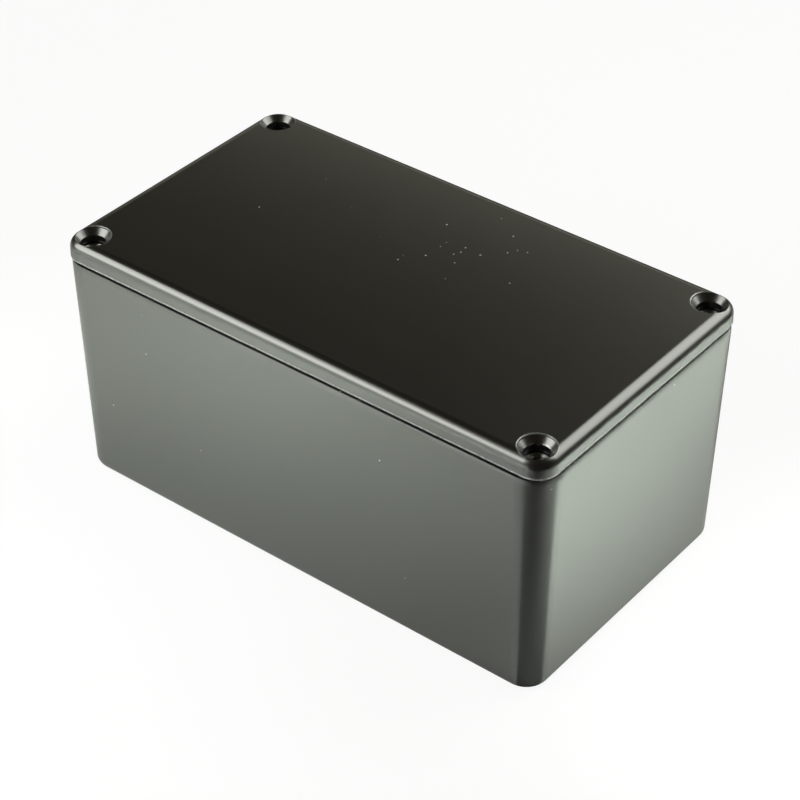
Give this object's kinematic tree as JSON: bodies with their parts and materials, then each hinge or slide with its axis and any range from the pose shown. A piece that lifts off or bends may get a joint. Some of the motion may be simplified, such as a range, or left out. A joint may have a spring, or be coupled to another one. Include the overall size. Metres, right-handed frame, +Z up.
{
  "type": "die cast enclosure",
  "caption": "Deep rectangular cast aluminium box with drafted walls and rounded corners, closed by a flat lid with countersunk corner screw holes, for housing a circuit.",
  "frame": {"origin": "centre of the underside, on the surface that the box stands on", "axes": "+X along the box, +Y across it, +Z up through the lid"},
  "size_m": [0.115, 0.0644, 0.055],
  "materials": {
    "black_paint": "satin black paint on cast aluminium"
  },
  "bodies": {
    "root": {"base": "black_paint", "lid": "black_paint"}
  },
  "joints": []
}
